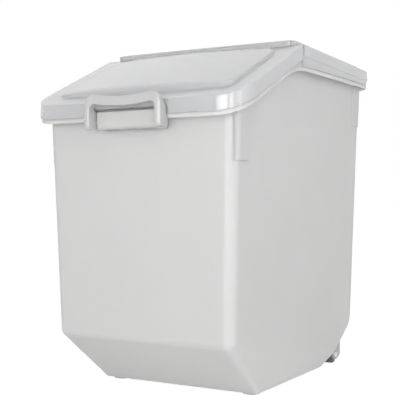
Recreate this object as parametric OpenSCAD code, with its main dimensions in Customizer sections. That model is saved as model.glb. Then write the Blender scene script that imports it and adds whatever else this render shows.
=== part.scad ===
// Rice bin with a flip lid: a tapered translucent tub on two rear wheels, a fixed
// rear cover, a sloped flip lid hinged at the ridge, and a bail latch at the front.
// Millimetres, +Z up, -Y is the front. The origin is on the floor, under the middle
// of the whole bin.

/* [Tub] */
// Outside width of the tub, at the height of its front rim
tub_w = 240; // [200:1:280]
// Outside depth of the tub, at the height of its front rim
tub_d = 356; // [320:1:400]
// Wall thickness of the tub
tub_wall = 2.4; // [2:0.1:3]
// Lean of the walls from the vertical, in degrees
wall_draft = 1.66; // [0.8:0.02:2.2]
// Outside radius of the tub's upright corners
tub_corner_r = 12; // [9:0.5:16]

/* [Tub bottom] */
// Height of the base's underside above the floor
base_lift = 2.4; // [1.8:0.1:4]
// Distance from the tub's sides to the flat base
side_bevel_run = 19.5; // [16:0.5:24]
// Distance from the front wall back to the flat base
front_bevel_run = 86; // [70:1:96]
// Height at which the front bevel meets the front wall
front_bevel_h = 65; // [50:1:80]
// Distance from the rear wall forward to the flat base
rear_bevel_run = 94; // [84:1:104]
// Height at which the rounded rear bottom meets the rear wall
rear_roll_h = 66; // [60:1:80]
// Outside radius of the rounded rear bottom
rear_roll_r = 30; // [24:1:36]
// Height of the side bevel at its middle, behind the front wall
side_bevel_mid_h = 35; // [28:1:40]
// Distance from the front wall back to that middle point
side_bevel_mid_run = 118; // [100:1:140]
// Height of the side bevel at the rear
side_bevel_rear_h = 21; // [16:1:26]
// Outside radius of the bevels' lower edges
base_edge_r = 5; // [4:0.5:8]

/* [Rim] */
// How far the flange stands out from the tub wall
flange_reach = 13.7; // [11:0.1:14.5]
// Thickness of the flange
flange_t = 2.2; // [1.8:0.1:3]
// Height of the flange's turned-down edge
flange_edge_h = 5; // [4:0.5:7]
// Radius of the flange's corners, seen from above
flange_corner_r = 30; // [26:1:34]
// Clearance between the lid skirts and the flange
flange_gap = 0.6; // [0.4:0.1:1.2]
// Radius of the bend under the ridge, where the rising flange turns level
rim_bend_r = 130; // [90:5:150]
// Thickness of the corner pads below the flange
pad_t = 1.5; // [0.8:0.1:2]
// Height of the corner pads below the flange, at the tub's corners
pad_h = 50; // [40:1:64]
// Length of the corner pads along the sides
pad_side_l = 32; // [26:1:40]

/* [Lids] */
// How far both lids reach past the tub wall
lid_reach = 15.5; // [15:0.1:18]
// Height of the lid's top edge at the front
lid_front_z = 322; // [300:1:340]
// Height of the ridge between the two lids
ridge_z = 391; // [375:1:410]
// Height of the rear cover's top edge at the rear
lid_rear_z = 384; // [374:1:388]
// Distance from the flip lid's front edge back to the ridge
ridge_run = 152.5; // [140:0.5:170]
// Thickness of both lids
lid_t = 2.2; // [1.8:0.1:3]
// Height of the skirt round the flip lid, and of the rear cover's at the rear
skirt_h = 16.5; // [14:0.5:20]
// Height of the upper band of the rear cover's skirt, which stands out over the rest
cover_band_h = 12.5; // [9:0.5:13.5]
// Radius of the lids' corners, seen from above
lid_corner_r = 32; // [28:1:36]
// Gap between the flip lid and the rear cover at the ridge
part_gap = 1.2; // [0.8:0.1:1.6]

/* [Raised panels] */
// Height of the flip lid's raised panel above its border
flip_panel_h = 7.8; // [5:0.1:8.2]
// Height of the rear cover's raised panel above its border
rear_panel_h = 7.3; // [5:0.1:8]
// Distance from the flip lid's side edges to its panel
flip_panel_side = 24.5; // [18:0.5:30]
// Distance from the rear cover's side edges to its panel
rear_panel_side = 12.5; // [12.5:0.5:24]
// Radius of the panels' corners
panel_corner_r = 9; // [6:0.5:14]
// Distance from the flip lid's front edge to its panel
flip_panel_front = 21.5; // [18:0.5:30]
// Distance from the flip lid's panel back to the ridge
flip_panel_back = 20; // [19.5:0.5:36]
// Distance from the ridge back to the rear panel's upright front wall
rear_panel_front = 1.6; // [1.4:0.1:2.5]
// Distance from the rear panel to the rear cover's rear edge
rear_panel_back = 22; // [18:0.5:30]

/* [Rear cover] */
// Depth of the rib that keeps the rear cover inside the tub's walls
plug_h = 14; // [8:0.5:18]
// Thickness of that rib
plug_t = 1.8; // [1.4:0.1:2.4]

/* [Lid hinge] */
// Distance from the ridge forward to the hinge axis
hinge_run = 3.6; // [3.2:0.1:4.5]
// Depth of the hinge axis below the ridge
hinge_drop = 3.5; // [3:0.1:4.5]
// Radius of the hinge knuckles
knuckle_r = 4; // [3.6:0.1:4.4]
// Radius of the hinge pins
hinge_pin_r = 2; // [1.5:0.1:2.4]
// Radial clearance of a hinge pin in the flip lid's knuckle
hinge_fit = 0.06; // [0.03:0.01:0.1]
// Distance from the tub's sides to the middle of each hinge
hinge_side = 48; // [42:1:70]
// Length of each knuckle on the flip lid
knuckle_l = 27; // [16:1:34]
// Length of each hinge ear on the rear cover
ear_l = 8; // [6:0.5:12]
// Side clearance between a knuckle and an ear
knuckle_gap = 0.4; // [0.3:0.1:0.8]
// Radius of the hinge pins' heads
pin_head_r = 3; // [2.6:0.1:3.6]
// Thickness of the hinge pins' heads
pin_head_t = 1.2; // [0.8:0.1:2]

/* [Seal] */
// Width of the seal under the flip lid
seal_w = 5; // [4:0.5:6]
// Thickness of the seal
seal_t = 2; // [1.5:0.1:2.4]
// Clearance between the seal and the edge that it lies on
seal_gap = 0.3; // [0.2:0.1:0.5]
// Thickness of the ribs that hold the seal
seal_rib_t = 1.2; // [1:0.1:1.6]

/* [Latch] */
// Half-width of the latch handle, over its legs
latch_half_w = 48.5; // [44:0.5:54]
// Width of the latch handle's legs
latch_leg_w = 6.8; // [6:0.1:9]
// Thickness of the handle's cross bar at its top, front to back
bar_top_t = 4; // [3:0.1:7]
// Height of the latch handle's top shoulders above the floor
latch_top_z = 329; // [325:1:330]
// Height of the handle's cross bar, at its middle
latch_bar_h = 10.5; // [8:0.5:12]
// How deep the cross bar dips at its middle
latch_dip = 3; // [1:0.5:4]
// Radius of the handle's outer shoulders
latch_shoulder_r = 12; // [8:0.5:14]
// Clearance between the closed handle and the lid as the lid swings open
latch_swing_gap = 1.3; // [0.8:0.1:1.6]
// Height of the latch pivot above the floor
latch_pivot_z = 299.5; // [298:0.5:302]
// Distance of the latch pivot from the tub wall
latch_pivot_out = 13; // [12.5:0.1:13.5]
// Radius of the handle's stub pins
latch_pin_r = 1.8; // [1.5:0.1:2]
// Radial clearance of the stub pins in the latch block
latch_fit = 0.06; // [0.03:0.01:0.1]
// How far the latch block stands out from the tub wall
block_stand = 16.5; // [15.5:0.5:18]
// Height of the latch block's top above the floor
block_top_z = 311; // [308:0.5:311.5]
// Height of the latch block's underside above the floor
block_low_z = 291.5; // [288:0.5:294]
// Side clearance between the latch block and the handle's legs
block_side_gap = 0.7; // [0.4:0.1:1.2]
// Height of the notch in the lid skirt behind the latch
skirt_notch_h = 8; // [6:0.5:9]
// Side clearance between the handle's legs and the notch
notch_side_gap = 3.5; // [2:0.5:6]

/* [Wheels] */
// Outside radius of the wheels
wheel_r = 11.5; // [10:0.1:12]
// Width of the wheels
wheel_w = 15; // [12:0.5:18]
// Distance of the wheels' middle from the side edges of the flat base
wheel_side = 8; // [6.5:0.5:16]
// Distance of the axles from the rear wall, forward
axle_run = 44; // [40:1:50]
// Radius of the axles
axle_r = 2; // [1.5:0.1:2.5]
// Radial clearance of the wheels on their axles
axle_fit = 0.08; // [0.03:0.01:0.1]
// Thickness of the tyres
tyre_t = 2.5; // [2:0.1:4]
// Thickness of the wheel housings' cheeks
cheek_t = 2.6; // [2:0.1:3.5]
// Side clearance of a wheel in its housing
wheel_side_gap = 0.5; // [0.4:0.1:1]
// Clearance round a wheel in its housing
wheel_round_gap = 1; // [0.8:0.1:1.4]
// Length of the wheel housings, front to back
housing_l = 32; // [30:1:36]
// Radius of the axle caps
axle_cap_r = 3; // [2.6:0.1:4]
// Thickness of the axle caps and axle heads
axle_cap_t = 1.6; // [1.2:0.1:2.4]
// Radius of the housings' snap studs
stud_r = 2.5; // [2:0.1:3]
// Distance between the two snap studs of a housing
stud_pitch = 14; // [12:0.5:16]

/* [Front feet] */
// Radius of the front feet
foot_r = 10; // [8:0.5:11]
// Distance of the feet's middle from the side edges of the flat base
foot_side = 12.5; // [12.5:0.5:30]
// Distance from the base's front edge back to the feet
foot_run = 13; // [12:0.5:20]

/* [Hidden] */

$fn = 64;
edge_fn = 28;            // segments of the tub's rounded corners and edges
skin = 0.01;             // overlap that joins two solids of one piece
past = 1;                // how far a cut runs past the solid
far = 600;               // larger than the bin, for cutting blocks
push_gap = 0.3;          // clearance between a push-in piece and its seat
press_fit = 0.02;        // radial clearance of a pin that is pressed in

// Places below are measured from the tub's own middle; bin_y, further down, moves the
// bin so that the origin lies under the middle of its whole length.
half_w = tub_w / 2;
half_d = tub_d / 2;
lid_half_w = half_w + lid_reach;
lid_half_d = half_d + lid_reach;

// Slopes of the two lids
lid_front_y = -lid_half_d;
ridge_y = lid_front_y + ridge_run;
front_slope = (ridge_z - lid_front_z) / ridge_run;
rear_slope = (ridge_z - lid_rear_z) / (lid_half_d - ridge_y);
function lid_z(y) = y < ridge_y ? ridge_z + (y - ridge_y) * front_slope
                                : ridge_z - (y - ridge_y) * rear_slope;

// Heights measured from the lids' top edge
skirt_low = -skirt_h;
flange_top = skirt_low - flange_gap;
flange_low = flange_top - flange_edge_h;
seal_top = -lid_t;
seal_low = seal_top - seal_t;
front_wall_top = seal_low - seal_gap;
rear_wall_top = -lid_t - push_gap;
front_rim_z = lid_front_z + skirt_low;
cover_band_low = -cover_band_h;

// The flange's top follows the front slope, bends and runs level to the rear
rim_level_z = lid_rear_z + flange_top;
rim_rise = atan(front_slope);
rim_bend_y = ridge_y - (ridge_z + flange_top - rim_level_z) / front_slope
    + rim_bend_r * tan(rim_rise / 2);
rim_bend_steps = 5;
rim_bend = [
    for (k = [rim_bend_steps:-1:0])
        let (turn = rim_rise * k / rim_bend_steps)
            [rim_bend_y - rim_bend_r * sin(turn),
             rim_level_z - rim_bend_r * (1 - cos(turn))]
];
rim_line = concat([[-far / 2, lid_z(-far / 2) + flange_top]], rim_bend,
                  [[far / 2, rim_level_z]]);

// The tub's leaning walls
function lean(z) = (front_rim_z - z) * tan(wall_draft);
function wall_x(z) = half_w - lean(z);
function wall_y(z) = half_d - lean(z);
tub_top_z = ridge_z + 9;

// Tub bottom: centres of the rounded edges
base_half_w = half_w - side_bevel_run;
base_front_y = -half_d + front_bevel_run;
base_rear_y = half_d - rear_bevel_run;
base_edge_z = base_lift + base_edge_r;
base_ball_x = base_half_w - 1;
front_ball_z = front_bevel_h + 5.5;
front_ball_x = wall_x(front_ball_z) - tub_corner_r;
front_ball_y = -wall_y(front_ball_z) + tub_corner_r;
side_edge_r = base_edge_r + 1;
side_mid_y = -half_d + side_bevel_mid_run;
side_mid_z = side_bevel_mid_h + 1;
roll_x = wall_x(rear_roll_h) - tub_corner_r;
roll_y = wall_y(rear_roll_h) - rear_roll_r;
roll_mid_r = rear_roll_r - tub_corner_r;
roll_steps = 4;

// Rear bevel: tangent to the base's rear edge and to the rear roll
bevel_run = [roll_y - base_rear_y, rear_roll_h - base_edge_z];
bevel_angle = atan2(bevel_run.y, bevel_run.x)
    - asin((rear_roll_r - base_edge_r) / norm(bevel_run));
bevel_touch_y = base_rear_y + base_edge_r * sin(bevel_angle);
bevel_touch_z = base_edge_z - base_edge_r * cos(bevel_angle);
function bevel_z(y) = bevel_touch_z + (y - bevel_touch_y) * tan(bevel_angle);
side_rear_z = side_bevel_rear_h + 1;
side_rear_y = bevel_touch_y
    + (side_rear_z - side_edge_r / cos(bevel_angle) - bevel_touch_z) / tan(bevel_angle);

// Raised panels
flip_panel_half_w = lid_half_w - flip_panel_side;
rear_panel_half_w = lid_half_w - rear_panel_side;
flip_panel_y0 = lid_front_y + flip_panel_front;
flip_panel_y1 = ridge_y - flip_panel_back;
rear_panel_y0 = ridge_y + rear_panel_front;
rear_panel_y1 = lid_half_d - rear_panel_back;

// Lid hinge
hinge_x = half_w - hinge_side;
hinge_y = ridge_y - hinge_run;
hinge_z = ridge_z - hinge_drop;
hinge_pin_l = knuckle_l + 2 * (knuckle_gap + ear_l);
ear_mid = (knuckle_l + ear_l) / 2 + knuckle_gap;
ear_room = knuckle_r + 0.7;
plate_past = 0.4;
lid_end_y = ridge_y - part_gap / 2;
cover_end_y = ridge_y + part_gap / 2;

// Beam that the flip lid closes on
trough_z = hinge_z - knuckle_r - 5.5;
ledge_back_y = hinge_y - knuckle_r - 2;
ledge_front_y = ledge_back_y - seal_w - 5;

// Middle line of the seal
seal_x = wall_x((lid_front_z + ridge_z) / 2) - tub_wall / 2;
seal_front_y = -wall_y(lid_front_z) + tub_wall / 2;
seal_back_y = (ledge_front_y + ledge_back_y) / 2;
seal_corner_r = tub_corner_r - tub_wall / 2;
seal_rib_gap = 0.15;
seal_rib_h = seal_t - 0.4;

// Latch
latch_pivot_y = -half_d - latch_pivot_out;
leg_in_x = latch_half_w - latch_leg_w;
block_half_w = leg_in_x - block_side_gap;
block_front_y = -half_d - block_stand;
block_skin = 2.4;
notch_half_w = latch_half_w + notch_side_gap;
notch_z = lid_front_z - skirt_h + skirt_notch_h;
bar_low_z = latch_top_z - latch_dip - latch_bar_h;
leg_round = 4;
leg_end = 7.3;           // from the pivot down to the end of a leg
leg_heel = 2.5;          // from the pivot back to the heel of a leg
block_corner_r = 4;
bar_corner_r = 6;
stub_l = 4.5;

// Path of the lid's lower front edge as it swings open, and the clearance to it
swing_r = norm([lid_front_y - hinge_y, notch_z - hinge_z]);
function swing_y(z) = hinge_y - sqrt(pow(swing_r, 2) - pow(z - hinge_z, 2))
    - latch_swing_gap;
latch_front_y = swing_y(latch_top_z) - bar_top_t;
bin_y = (-latch_front_y - lid_half_d) / 2;

// Wheels
wheel_x = base_half_w - wheel_side;
axle_y = half_d - axle_run;
axle_z = wheel_r;
pocket_w = wheel_w + 2 * wheel_side_gap;
pocket_r = wheel_r + wheel_round_gap;
housing_w = pocket_w + 2 * cheek_t;
housing_back_y = axle_y + housing_l / 2;
cheek_r = 6.5;
wheel_hub_r = axle_r + 2.4;
wheel_dish = 3.5;
tyre_edge = 1.5;
stud_y = axle_y + 1;
stud_seat = 0.1;
stud_lip = 0.7;

// Front feet
foot_x = base_half_w - foot_side;

// ---- helpers ----

// Moves a piece from the tub's middle to the bin's origin
module placed() translate([0, bin_y, 0]) children();

// Draws children at the right and mirrored at the left
module both_sides() {
    children();
    mirror([1, 0, 0]) children();
}

// Upright prism over a rounded rectangle from y0 to y1, from the floor up
module column(hw, y0, y1, r) linear_extrude(height = far)
    union() {
        translate([r - hw, y0]) square([2 * (hw - r), y1 - y0]);
        translate([-hw, y0 + r]) square([2 * hw, y1 - y0 - 2 * r]);
        for (x = [r - hw, hw - r], y = [y0 + r, y1 - r])
            translate([x, y]) circle(r);
    }

// Extrudes a side view, drawn as [y, z], to both sides of the middle
module across(width) rotate([90, 0, 90]) translate([0, 0, -width / 2])
    linear_extrude(height = width) children();

// Everything between two heights, both measured from the lids' top edge
module roof_band(low, high) across(far)
    polygon([
        [-far / 2, lid_z(-far / 2) + low], [ridge_y, ridge_z + low],
        [far / 2, lid_z(far / 2) + low], [far / 2, lid_z(far / 2) + high],
        [ridge_y, ridge_z + high], [-far / 2, lid_z(-far / 2) + high]
    ]);

// Everything between two heights, both measured from the flange's top
module rim_band(low, high) across(far) {
    count = len(rim_line);
    polygon([
        for (i = [0:count - 1]) rim_line[i] + [0, low],
        for (i = [count - 1:-1:0]) rim_line[i] + [0, high]
    ]);
}

// A box between two corners
module block(low, high) translate(low) cube(high - low);

// ---- tub ----

// The tub's closed form, drawn in by the inset
module tub_form(inset) hull() {
    for (sx = [-1, 1], sy = [-1, 1])
        translate([sx * (wall_x(tub_top_z) - tub_corner_r),
                   sy * (wall_y(tub_top_z) - tub_corner_r), tub_top_z])
            cylinder(r = tub_corner_r - inset, h = past, $fn = edge_fn);
    // front wall's lower corners
    for (sx = [-1, 1])
        translate([sx * front_ball_x, front_ball_y, front_ball_z])
            sphere(tub_corner_r - inset, $fn = edge_fn);
    // flat base
    for (sx = [-1, 1], y = [base_front_y + 2, base_rear_y])
        translate([sx * base_ball_x, y, base_edge_z])
            sphere(base_edge_r - inset, $fn = edge_fn);
    // side bevels
    for (sx = [-1, 1], yz = [[side_mid_y, side_mid_z], [side_rear_y, side_rear_z]])
        translate([sx * (wall_x(yz.y) - side_edge_r), yz.x, yz.y])
            sphere(side_edge_r - inset, $fn = edge_fn);
    // rounded rear bottom
    for (sx = [-1, 1], k = [0:roll_steps]) {
        turn = (90 - bevel_angle) * k / roll_steps;
        translate([sx * roll_x, roll_y + roll_mid_r * cos(turn),
                   rear_roll_h - roll_mid_r * sin(turn)])
            sphere(tub_corner_r - inset, $fn = edge_fn);
    }
}

// The tub's upright walls only, grown outwards; thickens the corners
module wall_form(grow) hull()
    for (z = [front_rim_z / 2, tub_top_z], sx = [-1, 1], sy = [-1, 1])
        translate([sx * (wall_x(z) - tub_corner_r), sy * (wall_y(z) - tub_corner_r), z])
            cylinder(r = tub_corner_r + grow, h = past, $fn = edge_fn);

// Thick corners below the flange: on the sides in front, right round at the rear
module corner_pads() intersection() {
    wall_form(pad_t);
    rim_band(-far, -skin);
    pad_low_z = lid_z(-half_d) + flange_low - pad_h;
    pad_rear_z = rim_level_z - flange_edge_h - pad_h;
    pad_x = half_w - tub_corner_r - 2;
    both_sides() {
        block([pad_x, -half_d + tub_corner_r / 2, pad_low_z],
              [far, -half_d + pad_side_l, far]);
        block([pad_x, half_d - pad_side_l, pad_rear_z], [far, far, far]);
    }
}

// A column whose sides stand out from the tub's wall by the reach
module reach_column(reach, r) column(half_w + reach, -half_d - reach, half_d + reach, r);

module flange() {
    inner = flange_reach - flange_t;
    difference() {
        union() {
            intersection() {
                reach_column(flange_reach, flange_corner_r);
                rim_band(-flange_edge_h, 0);
            }
            // under the ridge the flange's edge rises to the flip lid's skirt
            difference() {
                intersection() {
                    reach_column(flange_reach, flange_corner_r);
                    across(far) polygon([
                        rim_bend[0], [ridge_y, ridge_z + flange_top],
                        [ridge_y, rim_level_z - flange_t], rim_bend[0] - [0, flange_t]
                    ]);
                }
                reach_column(inner, flange_corner_r - flange_t);
            }
        }
        // hollow underside, open below
        intersection() {
            reach_column(inner, flange_corner_r - flange_t);
            rim_band(-flange_edge_h - past, -flange_t);
        }
        // room for the latch
        block([-notch_half_w, -far, 0], [notch_half_w, -half_d - past, far]);
    }
}

module latch_block() difference() {
    intersection() {
        across(2 * block_half_w)
            polygon([
                [-half_d + 1.2, block_low_z], [block_front_y + 7, block_low_z],
                [block_front_y + 2, block_low_z + 1.6], [block_front_y, block_low_z + 5],
                [block_front_y, block_top_z - 1.5], [block_front_y + 1.5, block_top_z],
                [-half_d + 1.2, block_top_z]
            ]);
        // rounded front corners
        linear_extrude(height = far) offset(r = block_corner_r)
            translate([block_corner_r - block_half_w, block_front_y + block_corner_r])
                square(2 * (block_half_w - block_corner_r));
    }
    // three pockets, open below, leave the block as thin as a moulding
    pivot_boss = stub_l + 2.5;
    pocket = (2 * block_half_w - 2 * pivot_boss - 2 * 2) / 3;
    for (i = [-1, 0, 1])
        translate([i * (pocket + 2), 0, 0])
            block([-pocket / 2, block_front_y + block_skin, block_low_z - past],
                  [pocket / 2, -half_d - 0.6, block_top_z - block_skin]);
    // pivot holes for the handle's stub pins
    both_sides()
        translate([block_half_w - stub_l - 0.5, latch_pivot_y, latch_pivot_z])
            rotate([0, 90, 0]) cylinder(r = latch_pin_r + latch_fit, h = stub_l + 2);
}

// Draws children at the snap studs of one wheel housing, square to the rear bevel
module at_studs() translate([wheel_x, stud_y, bevel_z(stud_y)]) rotate([bevel_angle, 0, 0])
    for (dx = [-stud_pitch / 2, stud_pitch / 2]) translate([dx, 0, 0]) children();

module tub() color([0.90, 0.91, 0.91, 0.75]) placed() difference() {
    union() {
        difference() {
            tub_form(0);
            tub_form(tub_wall);
            roof_band(rear_wall_top, far);
            // the front part of the rim stands lower, under the seal
            intersection() {
                roof_band(front_wall_top, far);
                block([-far, -far, 0], [far, cover_end_y, far]);
            }
        }
        difference() {
            union() {
                flange();
                corner_pads();
                latch_block();
            }
            tub_form(tub_wall / 2);
        }
    }
    both_sides() at_studs()
        translate([0, 0, -past]) cylinder(r = stud_r + push_gap, h = tub_wall + 2 * past);
}

// ---- lids ----

// Plate and skirt of the flip lid, without the panel
module lid_shell() difference() {
    intersection() {
        reach_column(lid_reach, lid_corner_r);
        roof_band(skirt_low, 0);
    }
    intersection() {
        reach_column(lid_reach - lid_t, lid_corner_r - lid_t);
        roof_band(skirt_low - past, -lid_t);
    }
}

// Plate and skirt of the rear cover: the skirt steps in under its upper band and goes
// down to the level flange
module cover_shell() intersection() {
    difference() {
        union() {
            intersection() {
                reach_column(lid_reach, lid_corner_r);
                roof_band(cover_band_low, 0);
            }
            intersection() {
                reach_column(flange_reach, flange_corner_r);
                roof_band(-far, cover_band_low + skin);
                rim_band(flange_gap, far);
            }
        }
        intersection() {
            reach_column(lid_reach - lid_t, lid_corner_r - lid_t);
            roof_band(cover_band_low + lid_t, -lid_t);
        }
        intersection() {
            reach_column(flange_reach - lid_t, flange_corner_r - lid_t);
            roof_band(-far, cover_band_low + lid_t + past);
        }
    }
    block([-far, cover_end_y, 0], [far, far, far]);
}

// A raised panel between y0 and y1, drawn in by the inset
module panel(half_width, y0, y1, height, inset, low) intersection() {
    column(half_width - inset, y0 + inset, y1 - inset, panel_corner_r - inset);
    roof_band(low, height - inset);
}

module flip_panel(inset, low)
    panel(flip_panel_half_w, flip_panel_y0, flip_panel_y1, flip_panel_h, inset, low);

module rear_panel(inset, low)
    panel(rear_panel_half_w, rear_panel_y0, rear_panel_y1, rear_panel_h, inset, low);

// A band that follows the edge of the flip lid's opening
module seal_path(out, low, high) intersection() {
    column(seal_x + out, seal_front_y - out, seal_back_y + out, seal_corner_r + out);
    roof_band(low, high);
}

module seal_ring(half, low, high) difference() {
    seal_path(half, low, high);
    seal_path(-half, low - past, high + past);
}

// Two ribs under the flip lid hold the seal between them
module seal_ribs() {
    groove = seal_w / 2 + seal_rib_gap;
    low = seal_top - seal_rib_h;
    difference() {
        seal_ring(groove + seal_rib_t, low, seal_top + skin);
        seal_ring(groove, low - past, seal_top + past);
    }
}

module hinge_rod(x, length, r) translate([x - length / 2, hinge_y, hinge_z])
    rotate([0, 90, 0]) cylinder(r = r, h = length);

// Draws children at both hinges
module at_hinges() for (x = [-hinge_x, hinge_x]) translate([x, 0, 0]) children();

module flip_lid() color([0.93, 0.94, 0.96, 0.8]) placed() difference() {
    union() {
        difference() {
            union() {
                intersection() {
                    lid_shell();
                    // the rear end is bevelled so that it clears the cover as it turns
                    across(far)
                        polygon([
                            [-far, 0], [lid_end_y, 0], [lid_end_y, hinge_z + 2.2],
                            [lid_end_y - 0.9, ridge_z], [lid_end_y - 0.9, far], [-far, far]
                        ]);
                }
                flip_panel(0, -lid_t / 2);
                seal_ribs();
            }
            flip_panel(lid_t, -far);
            // notch in the skirt, behind the latch
            block([-notch_half_w, -far, 0], [notch_half_w, -half_d - past, notch_z]);
            // the plate ends just past the hinge axis, so that it can turn over the walls
            plate_half_w = wall_x(hinge_z) + past;
            block([-plate_half_w, hinge_y + plate_past, hinge_z - 2 * knuckle_r],
                  [plate_half_w, ridge_y + past, far]);
            // room for the ears and the pins' heads
            at_hinges() for (s = [-1, 1])
                hinge_rod(s * (ear_mid + pin_head_t / 2),
                          ear_l + 2 * knuckle_gap + pin_head_t, ear_room);
        }
        at_hinges() hinge_rod(0, knuckle_l, knuckle_r);
    }
    at_hinges() hinge_rod(0, knuckle_l + 2 * past, hinge_pin_r + hinge_fit);
}

module lid_seal() color([0.82, 0.83, 0.83]) placed()
    seal_ring(seal_w / 2, seal_low, seal_top);

// The beam from wall to wall under the ridge: the panel's front wall goes down, runs
// forward under the hinge and ends in the ledge that the seal lies on
module front_beam() {
    beam_half_w = wall_x(lid_z(ledge_front_y)) - tub_wall - push_gap;
    back_y = rear_panel_y0 + lid_t;
    ledge_back_z = lid_z(ledge_back_y) + front_wall_top;
    ledge_front_z = lid_z(ledge_front_y) + front_wall_top;
    across(2 * beam_half_w)
        polygon([
            [back_y, ridge_z - lid_t], [rear_panel_y0, ridge_z - lid_t],
            [rear_panel_y0, trough_z + lid_t], [ledge_back_y + lid_t, trough_z + lid_t],
            [ledge_back_y, ledge_back_z], [ledge_front_y, ledge_front_z],
            [ledge_front_y, ledge_front_z - lid_t], [ledge_back_y - 1, trough_z],
            [back_y, trough_z]
        ]);
}

// A rib inside the tub's walls keeps the rear cover in place
module plug_rib() {
    low_z = lid_rear_z - plug_h;
    x = wall_x(low_z) - tub_wall - push_gap;
    y = wall_y(low_z) - tub_wall - push_gap;
    r = tub_corner_r - tub_wall;
    difference() {
        intersection() {
            column(x, -y, y, r);
            // up to the plate, or to the panel's top where the panel stands over it
            union() {
                roof_band(-plug_h, -lid_t + skin);
                intersection() {
                    rear_panel(lid_t / 2, -plug_h);
                    roof_band(-plug_h, rear_panel_h - lid_t + skin);
                }
            }
            block([-far, rear_panel_y0, 0], [far, far, far]);
        }
        column(x - plug_t, -y, y - plug_t, r - plug_t);
    }
}

module hinge_ear(x) {
    hinge_rod(x, ear_l, knuckle_r);
    translate([x, 0, 0]) across(ear_l)
        polygon([
            [hinge_y, hinge_z - knuckle_r], [rear_panel_y0 + lid_t / 2, trough_z + lid_t / 2],
            [rear_panel_y0 + lid_t / 2, hinge_z + knuckle_r / 2],
            [hinge_y, hinge_z + knuckle_r]
        ]);
}

module rear_cover() color([0.93, 0.94, 0.96, 0.8]) placed() difference() {
    union() {
        difference() {
            union() {
                cover_shell();
                rear_panel(0, -lid_t);
            }
            rear_panel(lid_t, -far);
        }
        front_beam();
        plug_rib();
        at_hinges() for (s = [-1, 1]) hinge_ear(s * ear_mid);
    }
    at_hinges() hinge_rod(0, hinge_pin_l + 2 * past, hinge_pin_r + press_fit);
}

module hinge_pin() {
    hinge_rod(0, hinge_pin_l, hinge_pin_r);
    hinge_rod((hinge_pin_l + pin_head_t) / 2, pin_head_t, pin_head_r);
}

module hinge_pin_right() color([0.75, 0.76, 0.78]) placed()
    translate([hinge_x, 0, 0]) hinge_pin();

module hinge_pin_left() color([0.75, 0.76, 0.78]) placed()
    mirror([1, 0, 0]) translate([hinge_x, 0, 0]) hinge_pin();

// ---- latch ----

// The handle's front view, drawn as [x, z]: two legs, a bar with a dip in its top
module handle_outline() {
    low_z = latch_pivot_z - leg_end;
    shoulder_x = latch_half_w - latch_shoulder_r;
    shoulder_z = latch_top_z - latch_shoulder_r;
    dip_r = (pow(shoulder_x, 2) + pow(latch_dip, 2)) / (2 * latch_dip);
    corner_x = leg_in_x - bar_corner_r;
    corner_z = bar_low_z + latch_dip - bar_corner_r;
    under_r = (pow(corner_x, 2) + pow(latch_dip, 2)) / (2 * latch_dip);
    difference() {
        union() {
            translate([-latch_half_w, low_z]) square([2 * latch_half_w, shoulder_z - low_z]);
            translate([-shoulder_x, low_z]) square([2 * shoulder_x, latch_top_z - low_z]);
            for (x = [-shoulder_x, shoulder_x])
                translate([x, shoulder_z]) circle(latch_shoulder_r);
        }
        translate([0, latch_top_z - latch_dip + dip_r]) circle(dip_r, $fn = 180);
        // opening between the legs
        translate([-leg_in_x, low_z - past])
            square([2 * leg_in_x, corner_z - low_z + past]);
        difference() {
            translate([-corner_x, low_z - past])
                square([2 * corner_x, corner_z + bar_corner_r - low_z + past]);
            translate([0, bar_low_z + under_r]) circle(under_r, $fn = 180);
        }
        for (x = [-corner_x, corner_x])
            translate([x, corner_z]) circle(bar_corner_r);
    }
}

// The handle's side view, drawn as [y, z]: its back stays clear of the opening lid
module handle_side() {
    low_z = latch_pivot_z - leg_end;
    heel_y = latch_pivot_y + leg_heel;
    for (y = [latch_front_y + leg_round, heel_y - leg_round])
        translate([y, low_z + leg_round]) circle(leg_round);
    polygon([
        [latch_front_y + leg_round, low_z], [heel_y - leg_round, low_z],
        [heel_y, low_z + leg_round], [heel_y - 0.5, notch_z - 3],
        [heel_y - 1.5, notch_z - 2], [swing_y(notch_z), notch_z - 1],
        [swing_y(bar_low_z), bar_low_z], [swing_y(latch_top_z), latch_top_z],
        [latch_front_y + 1.5, latch_top_z], [latch_front_y, latch_top_z - 2.5],
        [latch_front_y, low_z + leg_round]
    ]);
}

module latch_handle() color("white") placed() {
    intersection() {
        translate([0, -half_d, 0]) rotate([90, 0, 0])
            linear_extrude(height = -half_d - latch_front_y + past) handle_outline();
        across(far) handle_side();
    }
    // stub pins
    both_sides()
        translate([block_half_w - stub_l, latch_pivot_y, latch_pivot_z]) rotate([0, 90, 0])
            cylinder(r = latch_pin_r, h = stub_l + block_side_gap + 1);
}

// ---- wheels ----

module at_axle() translate([wheel_x, axle_y, axle_z]) rotate([0, 90, 0]) children();

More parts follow.
